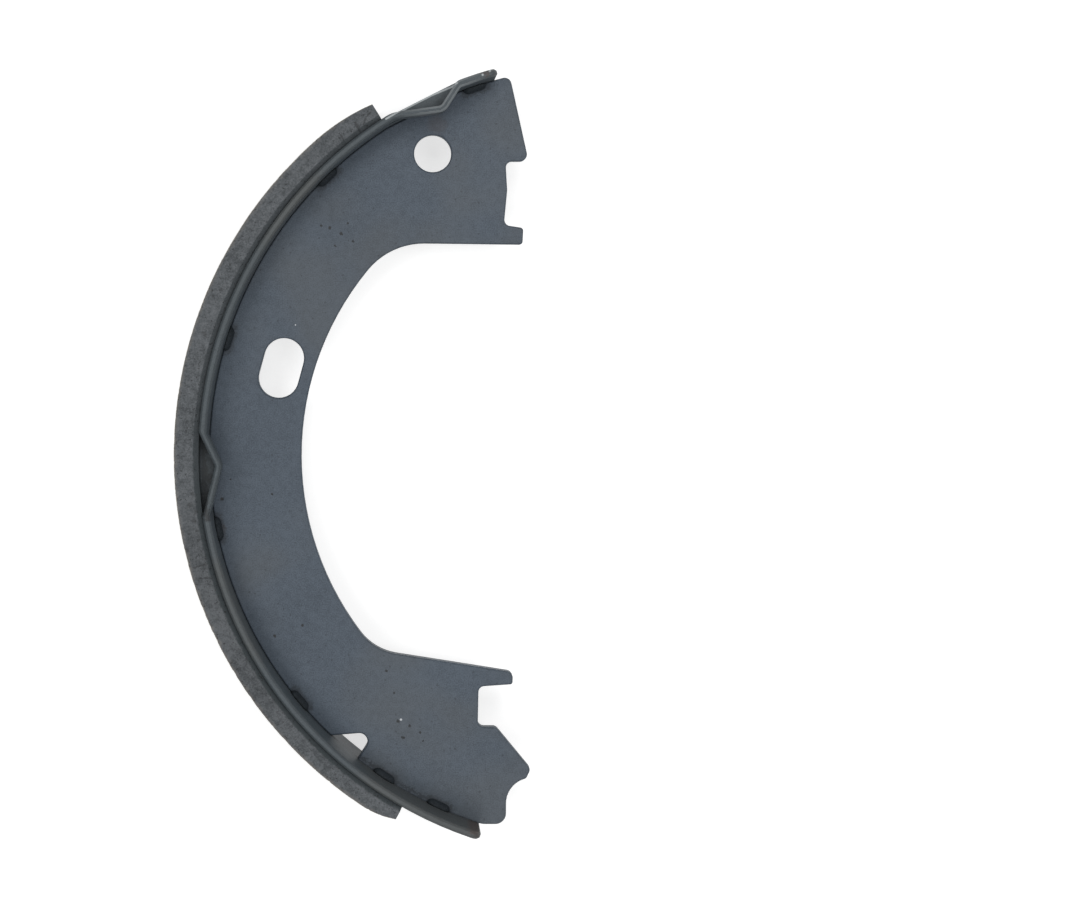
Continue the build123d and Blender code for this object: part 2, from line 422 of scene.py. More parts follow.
def arris_effect() -> bpy.types.NodeTree:
    """Group that finds a solid's arrises and chamfers and rounds them off.

    The normal averaged over a small ball leaves the face's own normal only near an edge. Arris is
    one minus their dot product, stretched, and thinned here and there by a noise. Normal is the
    averaged normal. Chamfer is 1 on faces that slope at about 45 degrees to the drum's axis.

    Returns:
        The node group.
    """
    bent, patch_noise, patch = Ramp(0.01, 0.22), Noise(450.0, 3.0, 0.6), Ramp(0.38, 0.6)
    off_wall, off_top = Ramp(0.4, 0.6), Ramp(0.95, 0.85)
    group, board, given, result = new_effect(
        "arris",
        (PLACE, EffectSocket("Radius", value=0.25 * MM), EffectSocket("Break Up", value=0.5)),
        (
            EffectSocket("Arris"),
            EffectSocket("Normal", "NodeSocketVector"),
            EffectSocket("Chamfer"),
        ),
    )
    bevel = board.node("ShaderNodeBevel", samples=6)
    board.feed(bevel.inputs["Radius"], given.outputs["Radius"])
    face = board.node("ShaderNodeNewGeometry")
    agree = board.measure("DOT_PRODUCT", bevel.outputs["Normal"], face.outputs["Normal"])
    edge = board.ramp(board.math("SUBTRACT", 1.0, agree), bent)
    patches = board.ramp(board.noise(given.outputs["Vector"], patch_noise), patch)
    lost = board.math("MULTIPLY", patches, given.outputs["Break Up"])
    arris = board.math("MULTIPLY", edge, board.math("SUBTRACT", 1.0, lost), clamp=True)
    split = board.node("ShaderNodeSeparateXYZ")
    board.feed(split.inputs[0], face.outputs["True Normal"])
    upright = board.math("ABSOLUTE", split.outputs["Z"])
    chamfer = board.math("MULTIPLY", board.ramp(upright, off_wall), board.ramp(upright, off_top))
    board.feed_all(result, Arris=arris, Normal=bevel.outputs["Normal"], Chamfer=chamfer)
    return group


def recess_effect() -> bpy.types.NodeTree:
    """Group that finds the corners and hollows, which the coats darken as painted shade.

    Mask comes from the share of the space over a point that other surfaces fill within Reach, moved
    a little by a noise. It is 0 where that share is Onset or less, as on an open face, and 1 from
    Full on, as deep in a corner.

    Returns:
        The node group.
    """
    ragged_noise, ragged_share = Noise(900.0, 3.0, 0.6), 0.3
    group, board, given, result = new_effect(
        "recess",
        (
            PLACE,
            EffectSocket("Reach", value=2.0 * MM),
            EffectSocket("Onset", value=0.15),
            EffectSocket("Full", value=0.52),
        ),
        (EffectSocket("Mask"),),
    )
    space = board.node("ShaderNodeAmbientOcclusion", samples=8)
    board.feed(space.inputs["Distance"], given.outputs["Reach"])
    ragged = board.ripple(given.outputs["Vector"], ragged_noise)
    filled = board.math("SUBTRACT", 1.0, space.outputs["AO"])
    filled = board.math("ADD", filled, board.math("MULTIPLY", ragged, ragged_share))
    mask = board.span(filled, given.outputs["Onset"], given.outputs["Full"])
    board.feed_all(result, Mask=mask)
    return group


def speckle_effect() -> bpy.types.NodeTree:
    """Group that scatters small round dots.

    Space is cut into cells round random points. A dot of radius Size, in cells, lies round the
    point of each cell whose own random value is below Share. It is full within 0.4 of its radius.

    Returns:
        The node group.
    """
    full = 0.4
    group, board, given, result = new_effect(
        "speckle",
        (
            PLACE,
            EffectSocket("Scale", value=700.0),
            EffectSocket("Size", value=0.25),
            EffectSocket("Share", value=0.3),
        ),
        (EffectSocket("Dots"),),
    )
    cells = board.feed_all(
        board.node("ShaderNodeTexVoronoi"),
        Vector=given.outputs["Vector"],
        Scale=given.outputs["Scale"],
    )
    shares = board.node("ShaderNodeSeparateColor")
    board.feed(shares.inputs[0], cells.outputs["Color"])
    size = given.outputs["Size"]
    disc = board.span(cells.outputs["Distance"], size, board.math("MULTIPLY", size, full))
    picked = board.math("LESS_THAN", shares.outputs[0], given.outputs["Share"])
    board.feed_all(result, Dots=board.math("MULTIPLY", disc, picked))
    return group


@dataclass(frozen=True)
class Effects:
    """The effects that more than one finish uses."""

    mottle: bpy.types.NodeTree
    arris: bpy.types.NodeTree
    recess: bpy.types.NodeTree
    speckle: bpy.types.NodeTree


@dataclass(frozen=True)
class Mottling:
    """How strongly grain, blotches and clouds break a finish up."""

    scale: float
    grain: float
    blotch: float
    cloud: float

    def lay(self, board: Board, effects: Effects, place: Socket) -> bpy.types.Node:
        """Places the mottle effect with these values.

        Args:
            board: The material's board.
            effects: The shared node groups.
            place: Socket of the object's coordinates.

        Returns:
            The effect's node.
        """
        return board.effect(
            effects.mottle,
            Vector=place,
            Grain_Scale=self.scale,
            Grain=self.grain,
            Blotch=self.blotch,
            Cloud=self.cloud,
        )


@dataclass(frozen=True)
class Spot:
    """A round mark, in millimetres as seen from above."""

    x: float
    y: float
    radius: float

    def mask(self, board: Board, flat: Socket) -> Socket:
        """Soft disc round the spot.

        Args:
            board: The material's board.
            flat: Socket of the coordinates without their height.

        Returns:
            Socket that is 1 inside and fades to 0 across the edge.
        """
        away = board.measure("DISTANCE", flat, (self.x * MM, self.y * MM, 0.0))
        return board.span(away, *(share * self.radius * MM for share in SPOT_FADE))


@dataclass(frozen=True)
class Stroke:
    """A short straight mark from one point to another, in millimetres as seen from above."""

    start: tuple[float, float]
    end: tuple[float, float]
    width: float

    def mask(self, board: Board, flat: Socket) -> Socket:
        """Soft line: a point's distance from the nearest point of the stroke, stretched.

        Args:
            board: The material's board.
            flat: Socket of the coordinates without their height.

        Returns:
            Socket that is 1 on the stroke and fades to 0 beside it.
        """
        start = Vector((*self.start, 0.0)) * MM
        run = Vector((*self.end, 0.0)) * MM - start
        from_start = board.vector("SUBTRACT", flat, tuple(start))
        along = board.measure("DOT_PRODUCT", from_start, tuple(run))
        along = board.math("MULTIPLY", along, 1 / run.length_squared, clamp=True)
        nearest = board.node("ShaderNodeVectorMath", operation="SCALE")
        board.feed(nearest.inputs[0], tuple(run))
        board.feed(nearest.inputs["Scale"], along)
        away = board.measure("DISTANCE", from_start, nearest.outputs["Vector"])
        return board.span(away, *(share * self.width * MM for share in STROKE_FADE))


Mark = Spot | Stroke


def marks_mask(board: Board, place: Socket, marks: tuple[Mark, ...], wander: float) -> Socket:
    """The largest of the marks' masks, in coordinates that a noise bends.

    Args:
        board: The material's board.
        place: Socket of the object's coordinates.
        marks: The marks.
        wander: How far the noise moves a point, in metres.

    Returns:
        Socket that is 1 on a mark and 0 elsewhere.
    """
    bend = board.node("ShaderNodeTexNoise")
    board.feed_all(bend, Vector=place, Scale=MARK_WANDER_SCALE)
    shaken = board.vector("SUBTRACT", bend.outputs["Color"], (MIDDLE, MIDDLE, MIDDLE))
    shaken = board.vector("MULTIPLY", shaken, (wander, wander, 0.0))
    bent = board.vector("ADD", board.vector("MULTIPLY", place, FLAT), shaken)
    return board.largest([mark.mask(board, bent) for mark in marks])


def new_material(name: str) -> tuple[bpy.types.Material, Board, bpy.types.Node, Socket]:
    """Starts a material.

    Args:
        name: Name of the material.

    Returns:
        The material, its board, its Principled BSDF and the socket of the object's own coordinates.
    """
    material = bpy.data.materials.new(name)
    material.use_nodes = True
    material.node_tree.nodes.clear()
    board = Board(material.node_tree)
    shader = board.node("ShaderNodeBsdfPrincipled")
    output = board.node("ShaderNodeOutputMaterial")
    board.feed(output.inputs["Surface"], shader.outputs["BSDF"])
    return material, board, shader, board.node("ShaderNodeTexCoord").outputs["Object"]


@dataclass(frozen=True)
class BondFace:
    """Outer face of the rolled rim past the lining's ends: bare bond face, lightened as painted
    sheen.
    """

    centre: tuple[float, float]
    radius: float
    # Light tone: the bare bond face, lightened further as a painted sheen.
    tone: str = "#a3aaac"
    share: float = 0.85
    depth: tuple[float, float] = (0.9, 0.6)
    facing: Ramp = Ramp(0.75, 0.92)

    def mask(self, board: Board, place: Socket) -> Socket:
        """Finds the face: its points lie at the radius and face straight away from the centre.

        Args:
            board: The material's board.
            place: Socket of the object's coordinates.

        Returns:
            Socket that is 1 on the face and 0 elsewhere.
        """
        middle = (self.centre[0] * MM, self.centre[1] * MM, 0.0)
        arm = board.vector("MULTIPLY", board.vector("SUBTRACT", place, middle), FLAT)
        face = board.node("ShaderNodeNewGeometry").outputs["True Normal"]
        agree = board.measure("DOT_PRODUCT", face, board.vector("NORMALIZE", arm))
        start, full = ((self.radius - depth) * MM for depth in self.depth)
        outside = board.span(board.measure("LENGTH", arm), start, full)
        return board.math("MULTIPLY", outside, board.ramp(agree, self.facing))


@dataclass(frozen=True)
class Coat:
    """Dark phosphate coat on pressed steel; painted shade in corners, wear and painted highlight on
    arrises.
    """

    name: str
    dark: str
    light: str
    # Lighter arris colour: edge wear and painted highlight.
    arris: str
    # Dark colour for real dots and pits, and for painted shade in corners, on chamfers and in pits.
    grime_and_shade: str = "#1b1d20"
    stain: str = "#4a3d38"
    fleck: str = "#c9cdd0"
    cast: str = "#50504d"
    cast_share: float = 0.45
    cast_noise: Noise = Noise(30.0, 2.0, 0.6)
    cast_patch: Ramp = Ramp(0.45, 0.65)
    contrast: float = 1.0
    mottling: Mottling = Mottling(3200.0, 1.0, 0.4, 0.3)
    tone_range: Ramp = Ramp(-0.45, 0.45)
    gloss_range: float = 0.4
    smooth: float = 0.42
    rough: float = 0.58
    dull_share: float = 0.3
    sheen: float = 0.35
    bump: float = 0.12
    bump_depth: float = 0.1 * MM
    # Width of the arrises that take wear and painted highlight.
    light_edge_radius: float = 0.22 * MM
    roundness: float = 0.3 * MM
    shoulder_break_up: float = 0.3
    # Painted shade on chamfers, where the rolled edges turn away from the light.
    shoulder_shade_share: float = 0.0
    edge_wear_and_highlight_share: float = 0.25
    # Share of the painted highlight on the notch's chamfers.
    notch_highlight_share: float = 0.85
    stain_share: float = 0.4
    stain_wander: float = 3.0 * MM
    # Share and wander of the dark marks: sooty welds and painted shade.
    soot_and_shade_share: float = 0.6
    soot_and_shade_wander: float = 2.5 * MM
    # Reach, onset, full and share of the painted shade in corners and hollows.
    shade_reach: float = 1.0 * MM
    shade_onset: float = 0.15
    shade_full: float = 0.52
    corner_shade_share: float = 0.6
    dot_share: float = 0.25
    dot_strength: float = 0.35
    pit_wander: float = 0.8 * MM
    pit_depth: float = 2.5
    fleck_wander: float = 0.2 * MM
    pits: tuple[Mark, ...] = ()
    # Light marks: real specks, and painted glints and highlight lines.
    flecks_and_glints: tuple[Mark, ...] = ()
    stains: tuple[Mark, ...] = ()
    # Where chamfers take a painted highlight.
    notch_highlights: tuple[Mark, ...] = ()
    # Dark marks: sooty welds, and painted shade in corners and in the mid notch's pit.
    soot_and_shade: tuple[Mark, ...] = ()
    bond_face: BondFace | None = None

    def clean_colour(self, board: Board, place: Socket, tone: Socket) -> Socket:
        """Colour before dirt, painted shade, wear and painted highlight: mottled, with a warm cast,
        stains and the bond face.

        Args:
            board: The material's board.
            place: Socket of the object's coordinates.
            tone: Socket of the mottle's tone.

        Returns:
            The colour's socket.
        """
        shade = board.ramp(tone, self.tone_range)
        colour = board.mix(shade, linear(self.dark), linear(self.light))
        warm = board.ramp(board.noise(place, self.cast_noise), self.cast_patch)
        colour = board.tint(colour, warm, self.cast, self.cast_share)
        if self.stains:
            stained = marks_mask(board, place, self.stains, self.stain_wander)
            colour = board.tint(colour, stained, self.stain, self.stain_share)
        # The bond face's light tone: bare steel with a painted sheen.
        if self.bond_face:
            face = self.bond_face
            colour = board.tint(colour, face.mask(board, place), face.tone, face.share)
        return colour

    def shade_and_grime_mask(
        self, board: Board, place: Socket, recess: Socket, dots: Socket, chamfer: Socket
    ) -> Socket:
        """Dark share: the most of the painted shade in corners and on chamfers, the dots and the
        dark marks.

        Args:
            board: The material's board.
            place: Socket of the object's coordinates.
            recess: Socket that is 1 deep in a corner.
            dots: Socket that is 1 on a dot.
            chamfer: Socket that is 1 on a sloping face.

        Returns:
            Socket of the share of dark dirt and painted shade.
        """
        shares = [
            (recess, self.corner_shade_share),
            (dots, self.dot_strength),
            # Painted shade on the chamfers.
            (chamfer, self.shoulder_shade_share),
        ]
        if self.soot_and_shade:
            shares.append((marks_mask(board, place, self.soot_and_shade, self.soot_and_shade_wander), self.soot_and_shade_share))
        return board.largest([board.math("MULTIPLY", mask, share) for mask, share in shares])

    def wear_and_highlight_mask(self, board: Board, place: Socket, edge: Socket, chamfer: Socket) -> Socket:
        """Lighter edges: wear and painted highlight on arrises, painted highlight on notch
        chamfers.

        Args:
            board: The material's board.
            place: Socket of the object's coordinates.
            edge: Socket that is 1 on an arris.
            chamfer: Socket that is 1 on a sloping face.

        Returns:
            Socket of the lighter edge colour's share.
        """
        wear_and_highlight = board.math("MULTIPLY", edge, self.edge_wear_and_highlight_share)
        if not self.notch_highlights:
            return wear_and_highlight
        # Painted highlight on chamfers within the notch marks.
        notch_lit = board.math("MULTIPLY", marks_mask(board, place, self.notch_highlights, 0.0), chamfer)
        return board.largest([wear_and_highlight, board.math("MULTIPLY", notch_lit, self.notch_highlight_share)])

    def make(self, effects: Effects) -> bpy.types.Material:
        """Builds the coat's material.

        Args:
            effects: The shared node groups.

        Returns:
            The material.
        """
        material, board, shader, place = new_material(self.name)
        strong = self.mottling
        mottle = Mottling(
            strong.scale,
            strong.grain * self.contrast,
            strong.blotch * self.contrast,
            strong.cloud * self.contrast,
        ).lay(board, effects, place)
        edge = board.effect(effects.arris, Vector=place, Radius=self.light_edge_radius)
        shoulder = board.effect(
            effects.arris, Vector=place, Radius=self.roundness, Break_Up=self.shoulder_break_up
        )
        # Corners and hollows, which take painted shade.
        recess = board.effect(
            effects.recess,
            Vector=place,
            Reach=self.shade_reach,
            Onset=self.shade_onset,
            Full=self.shade_full,
        ).outputs["Mask"]
        dots = board.effect(effects.speckle, Vector=place, Share=self.dot_share).outputs["Dots"]
        chamfer = shoulder.outputs["Chamfer"]

        colour = self.clean_colour(board, place, mottle.outputs["Tone"])
        # Darkens to the dark colour: painted shade in corners and on chamfers, real dots, and the
        # dark marks.
        grime_and_shade = self.shade_and_grime_mask(board, place, recess, dots, chamfer)
        colour = board.tint(colour, grime_and_shade, self.grime_and_shade)
        # Lightens arrises and notch chamfers: edge wear and painted highlight.
        wear_and_highlight = self.wear_and_highlight_mask(board, place, edge.outputs["Arris"], chamfer)
        colour = board.tint(colour, wear_and_highlight, self.arris)
        height = board.math("SUBTRACT", mottle.outputs["Height"], dots)
        if self.pits:
            hollow = marks_mask(board, place, self.pits, self.pit_wander)
            colour = board.tint(colour, hollow, self.grime_and_shade)
            height = board.math("SUBTRACT", height, board.math("MULTIPLY", hollow, self.pit_depth))
        # Light specks, and painted glints and highlight lines.
        if self.flecks_and_glints:
            bright = marks_mask(board, place, self.flecks_and_glints, self.fleck_wander)
            colour = board.tint(colour, bright, self.fleck)

        reach = self.gloss_range
        gloss = board.span(mottle.outputs["Tone"], -reach, reach, self.rough, self.smooth)
        dull = board.math("MULTIPLY", recess, self.dull_share)
        rounded = shoulder.outputs["Normal"]
        board.feed_all(
            shader,
            Base_Color=colour,
            Roughness=board.math("ADD", gloss, dull),
            Specular_IOR_Level=self.sheen,
            Normal=board.bump(height, self.bump_depth, self.bump, Normal=rounded),
        )
        return material


@dataclass(frozen=True)
class MouldedSide:
    """Skin of the friction block's sides and ends as moulded, with a glue line along the bond."""

    name: str = "moulded_side"
    dark: str = "#363a3d"
    light: str = "#5a5e62"
    grit: str = "#1b1d1f"
    glue: str = "#363d40"
    dust: str = "#77736d"
    mottling: Mottling = Mottling(2600.0, 1.2, 0.9, 0.7)
    tone_range: Ramp = Ramp(-0.5, 0.5)
    gloss: Ramp = Ramp(-0.4, 0.4, 0.85, 0.62)
    ragged_noise: Noise = Noise(700.0, 3.0, 0.6)
    ragged: float = 2.0 * MM
    dust_width: float = 1.0 * MM
    dust_share: float = 0.35
    glue_width: float = 1.1 * MM
    glue_fade: tuple[float, float] = (1.35, 0.8)
    glue_share: Ramp = Ramp(12.0 * MM, -10.0 * MM, 0.45, 0.85)
    # The side is darker between these places along Y, in the block's lower part.
    darker_from: Ramp = Ramp(-5.0 * MM, -25.0 * MM)
    darker_to: Ramp = Ramp(-70.0 * MM, -58.0 * MM)
    darker_share: float = 0.2
    grit_noise: Noise = Noise(1350.0, 2.0, 0.6)
    grit_size: Ramp = Ramp(0.61, 0.68)
    grit_share: float = 0.8
    mark_share: float = 0.6
    mark_wander: float = 0.9 * MM
    bump: float = 0.35
    bump_depth: float = 0.15 * MM
    marks: tuple[Mark, ...] = (
        Stroke((-38.1, -26.9), (-34.8, -26.0), 0.45),
        Stroke((-36.7, -29.4), (-34.5, -29.3), 0.3),
        Stroke((0.4, 78.6), (1.4, 76.8), 0.7),
        Stroke((2.8, 79.5), (2.3, 78.2), 0.4),
        Stroke((4.0, 81.1), (2.9, 79.9), 0.4),
        Stroke((-3.3, 76.1), (-2.2, 74.3), 0.3),
        Spot(-31.4, 39.0, 0.5),
        Spot(-33.3, 37.6, 0.35),
        Spot(-35.4, 28.6, 0.65),
        Spot(-38.2, -9.4, 0.45),
        Spot(-38.9, -12.0, 0.7),
        Spot(-37.3, -13.7, 0.45),
        Spot(-37.8, -15.8, 0.6),
        Spot(-37.2, -18.1, 0.45),
        Spot(-36.9, -20.4, 0.4),
    )

    def make(
        self, effects: Effects, axis: Vector, centre: Vector, face: float, bond: float
    ) -> bpy.types.Material:
        """Builds the side's material: mottled skin with dark grit, a glue line and grinding dust.

        Args:
            effects: The shared node groups.
            axis: Point of the drum's axis, seen from above.
            centre: Centre of the bond's circle, seen from above.
            face: Radius of the friction face about the axis.
            bond: Radius of the bond about its centre.

        Returns:
            The material.
        """
        material, board, shader, place = new_material(self.name)
        mottle = self.mottling.lay(board, effects, place)
        shade = board.ramp(mottle.outputs["Tone"], self.tone_range)
        colour = board.mix(shade, linear(self.dark), linear(self.light))
        parts = board.node("ShaderNodeSeparateXYZ")
        board.feed(parts.inputs["Vector"], place)
        along = parts.outputs["Y"]
        # Darkens the side between y = -5 and -70 mm.
        darker_band = [board.ramp(along, end) for end in (self.darker_from, self.darker_to)]
        colour = board.tint(colour, board.math("MULTIPLY", *darker_band), self.grit, self.darker_share)

        flat = board.vector("MULTIPLY", place, FLAT)
        ragged = board.math("MULTIPLY", board.ripple(place, self.ragged_noise), self.ragged)
        from_axis = board.math("ADD", board.measure("DISTANCE", flat, tuple(axis)), ragged)
        dust = board.span(from_axis, face - self.dust_width, face)
        colour = board.tint(colour, dust, self.dust, self.dust_share)
        from_bond = board.math("ADD", board.measure("DISTANCE", flat, tuple(centre)), ragged)
        start, full = (bond + share * self.glue_width for share in self.glue_fade)
        left = board.ramp(along, self.glue_share)
        glue = board.math("MULTIPLY", board.span(from_bond, start, full), left)
        colour = board.tint(colour, glue, self.glue)

        grit = board.ramp(board.noise(place, self.grit_noise), self.grit_size)
        marks = marks_mask(board, place, self.marks, self.mark_wander)
        shares = ((grit, self.grit_share), (marks, self.mark_share))
        dark = board.largest([board.math("MULTIPLY", mask, share) for mask, share in shares])
        height = board.math("SUBTRACT", mottle.outputs["Height"], dark)
        board.feed_all(
            shader,
            Base_Color=board.tint(colour, dark, self.grit),
            Roughness=board.ramp(mottle.outputs["Tone"], self.gloss),
            Normal=board.bump(height, self.bump_depth, self.bump),
        )
        return material


@dataclass(frozen=True)
class GroundFace:
    """The friction face as the grinding wheel left it, streaked along the drum's turning."""

    name: str = "ground_face"
    dark: str = "#807d75"
    light: str = "#aaa599"
    warm: str = "#a39180"
    cool: str = "#858b8e"
    shade: str = "#5b5953"
    grit: str = "#2b2a28"
    fleck: str = "#d8d5cc"
    mottling: Mottling = Mottling(2400.0, 0.8, 0.8, 0.8)
    drawn_out: tuple[float, float, float] = (1.0, 12.0, 1.0)
    streak_noise: Noise = Noise(130.0, 4.0, 0.65)
    fine_noise: Noise = Noise(420.0, 2.0, 0.6)
    hue_noise: Noise = Noise(260.0, 3.0, 0.6)
    shade_noise: Noise = Noise(1250.0, 3.0, 0.6)
    grit_noise: Noise = Noise(1100.0, 2.0, 0.6)
    fleck_noise: Noise = Noise(1350.0, 1.0, 0.5)
    tone_range: Ramp = Ramp(-0.5, 0.5)
    warm_patch: Ramp = Ramp(0.5, 0.68, 0.0, 0.45)
    cool_patch: Ramp = Ramp(0.5, 0.34, 0.0, 0.45)
    shade_patch: Ramp = Ramp(0.53, 0.68, 0.0, 0.6)
    grit_size: Ramp = Ramp(0.66, 0.71)
    fleck_size: Ramp = Ramp(0.75, 0.79, 0.0, 0.8)
    gloss: Ramp = Ramp(-0.5, 0.5, 0.9, 0.7)
    bump: float = 0.3
    bump_depth: float = 0.12 * MM

    def make(self, effects: Effects) -> bpy.types.Material:
        """Builds the face's material.

        The streaks follow the block's UV map, whose U runs along the arc and V across it, in
        metres. A noise that is squeezed along V is drawn out along U.

        Args:
            effects: The shared node groups.

        Returns:
            The material.
        """
        material, board, shader, place = new_material(self.name)
        chart = board.node("ShaderNodeTexCoord").outputs["UV"]
        drawn = board.vector("MULTIPLY", chart, self.drawn_out)
        fine = board.noise(drawn, self.fine_noise)
        mottle = self.mottling.lay(board, effects, place)
        streak = board.ripple(drawn, self.streak_noise)
        tone = board.math("ADD", mottle.outputs["Tone"], streak)
        tone = board.math("ADD", tone, board.math("SUBTRACT", fine, MIDDLE))
        colour = board.ramp(tone, self.tone_range)
        colour = board.mix(colour, linear(self.dark), linear(self.light))
        hue = board.noise(drawn, self.hue_noise)
        grit = board.ramp(board.noise(place, self.grit_noise), self.grit_size)
        for mask, layer in (
            (board.ramp(hue, self.warm_patch), self.warm),
            (board.ramp(hue, self.cool_patch), self.cool),
            (board.ramp(board.noise(place, self.shade_noise), self.shade_patch), self.shade),
            (grit, self.grit),
            (board.ramp(board.noise(place, self.fleck_noise), self.fleck_size), self.fleck),
        ):
            colour = board.tint(colour, mask, layer)
        height = board.math("ADD", fine, mottle.outputs["Height"])
        height = board.math("SUBTRACT", height, grit)
        board.feed_all(
            shader,
            Base_Color=colour,
            Roughness=board.ramp(tone, self.gloss),
            Normal=board.bump(height, self.bump_depth, self.bump),
        )
        return material


def new_mesh_object(name: str, points: Array, faces: list[tuple[int, ...]]) -> bpy.types.Object:
    """Puts a mesh into the scene.

    Args:
        name: Name of the piece.
        points: Its vertices, one row each.
        faces: Its faces, as rows of vertex numbers.

    Returns:
        The new object, at the origin.
    """
    mesh = bpy.data.meshes.new(name)
    mesh.from_pydata(points.tolist(), [], faces)
    mesh.validate()
    made = bpy.data.objects.new(name, mesh)
    bpy.context.scene.collection.objects.link(made)
    return made


class BlockFace(Enum):
    """Material places of the friction block."""

    MOULDED = 0
    GROUND = 1


@dataclass
class FrictionBlock:
    """The lining: one moulded block bonded to the rim, ground to the drum's radius.

    Angles are in degrees. The bond's circle has a centre of its own, bond_x and bond_y from the
    drum's axis.
    """

    face_radius: float = 99.8 * MM
    bond_radius: float = 95.5 * MM
    bond_x: float = 1.48 * MM
    bond_y: float = -0.36 * MM
    bond_top: float = 57.05
    bond_bottom: float = -60.5
    top_ease: float = 9.2
    top_drop: float = 1.2 * MM
    bottom_ease: float = 4.9
    bottom_drop: float = 1.4 * MM
    floor: float = 0.4 * MM
    roof: float = 25.2 * MM
    middle_y: float = -0.223 * MM
    thickness: float = 4.3 * MM
    bond_chamfer: float = 1.2 * MM
    chamfer_steps: tuple[float, ...] = (0.35, 0.7, 1.0)
    arris: float = 0.12 * MM
    station: float = 0.32 * MM
    bond_rows: int = 4
    side_rows: int = 7
    arris_rows: int = 6
    face_rows: int = 72
    chip: float = 0.3 * MM
    chip_reach: float = 0.9 * MM
    chip_fall: float = 1.5
    chip_onset: float = 0.35
    chip_lean: float = 0.8
    wide_chip: float = 1.7 * MM
    small_chip: float = 0.6 * MM
    small_share: float = 0.5
    tooth: float = 0.05 * MM
    tooth_pitch: float = 0.45 * MM
    wave: float = 0.03 * MM
    wave_pitch: float = 2.5 * MM
    seeds: tuple[int, int, int, int] = (11, 12, 13, 14)
    smooth_below: float = 38.0
    finish_side: MouldedSide = field(default_factory=MouldedSide)
    finish_face: GroundFace = field(default_factory=GroundFace)

    def end_angle(self, bond_angle: float) -> float:
        """Where an end of the bond lies as seen from the drum's axis.

        Args:
            bond_angle: The end's angle about the bond's centre, in degrees.

        Returns:
            Its angle about the drum's axis, in radians.
        """
        turn = math.radians(bond_angle)
        x = self.bond_x - self.bond_radius * math.cos(turn)
        y = self.bond_y + self.bond_radius * math.sin(turn)
        return math.atan2(y, -x)

    def section(self) -> tuple[Array, Array, Array, Array]:
        """The block's section as a closed loop from the bond face round by the lower side.

        A point's distance from the bond's circle is its share of the block's thickness plus an
        offset. The loop has straight runs, a chamfer at each bonded edge and a quarter round at
        each ground edge.

        Returns:
            Shares of the thickness, offsets, heights, and 1 where the point belongs to the ground
            face.
        """
        floor, roof, cut, arris = self.floor, self.roof, self.bond_chamfer, self.arris
        rising = np.array(self.chamfer_steps) * cut
        falling = rising[::-1]
        out = np.linspace(0, 1, self.side_rows + 2)[1:-1]
        back = out[::-1]
        quarter = np.linspace(0, np.pi / 2, self.arris_rows)
        bond = np.linspace(roof - cut, floor + cut, self.bond_rows)
        face = np.linspace(floor + arris, roof - arris, self.face_rows + 2)[1:-1]
        runs = (
            (0, 0 * bond, bond, 0),
            (0, rising, floor + cut - rising, 0),
            (out, cut * (1 - out) - arris * out, floor, 0),
            (1, arris * (np.sin(quarter) - 1), floor + arris * (1 - np.cos(quarter)), 1),
            (1, 0 * face, face, 1),
            (1, arris * (np.cos(quarter) - 1), roof - arris * (1 - np.sin(quarter)), 1),
            (back, cut * (1 - back) - arris * back, roof, 0),
            (0, falling, roof - cut + falling, 0),
        )
        return tuple(
            np.concatenate([np.broadcast_to(run[part], run[1].shape) for run in runs]).astype(float)
            for part in range(4)
        )

    def rays(self) -> tuple[Array, Array, Array]:
        """Rays from the drum's axis, one to each station along the block.

        The inner radius is where the ray meets the bond's circle. The outer radius is the face's,
        which drops by the square of the way into either eased end.

        Returns:
            Angles in radians, inner radii and outer radii, each as a column.
        """
        low, high = self.end_angle(self.bond_bottom), self.end_angle(self.bond_top)
        count = int((high - low) * self.face_radius / self.station) + 1
        angle = np.linspace(low, high, count)[:, None]
        away = self.bond_y * np.sin(angle) - self.bond_x * np.cos(angle)
        inner = away + np.sqrt(away**2 - self.bond_x**2 - self.bond_y**2 + self.bond_radius**2)
        into_top = np.clip((angle - high) / math.radians(self.top_ease) + 1, 0, 1)
        into_bottom = np.clip((low - angle) / math.radians(self.bottom_ease) + 1, 0, 1)
        outer = self.face_radius - self.top_drop * into_top**2 - self.bottom_drop * into_bottom**2
        return angle, inner, outer

    def weather(
        self, arc: Array, outer: Array, radius: Array, level: Array, skin: Array
    ) -> tuple[Array, Array]:
        """Bites chips out of the ground arrises and makes the moulded skin a little wavy.

        A bite is what two noises along the arc have above an onset, plus a fine tooth. It is full
        at the arris and falls off by a power of the distance from it. It moves a point inwards
        and, by a part of it, away from its side.

        Args:
            arc: Each station's place along the face, as a column.
            outer: Each station's outer radius, as a column.
            radius: The points' radii, one row to a station.
            level: The points' heights, one row to a station.
            skin: Whether a point of the section lies on a moulded side.

        Returns:
            The new radii and heights.
        """
        wide, small, fine, wavy = self.seeds
        side = np.sign(level - (self.floor + self.roof) / 2)
        along = arc + 0 * side
        depth_in = np.maximum(outer - radius, np.minimum(level - self.floor, self.roof - level))
        nearness = np.clip(1 - depth_in / self.chip_reach, 0, 1) ** self.chip_fall
        bite = lattice_noise(along, side, self.wide_chip, wide)
        bite = bite + self.small_share * lattice_noise(along, side, self.small_chip, small)
        teeth = self.tooth * np.abs(lattice_noise(arc, level, self.tooth_pitch, fine))
        bite = np.clip(bite - self.chip_onset, 0, 1) * self.chip + teeth
        radius = radius - bite * nearness
        level = level - side * bite * nearness * self.chip_lean
        wave = self.wave * lattice_noise(along, radius, self.wave_pitch, wavy)
        return radius, level + side * np.where(skin, wave, 0)

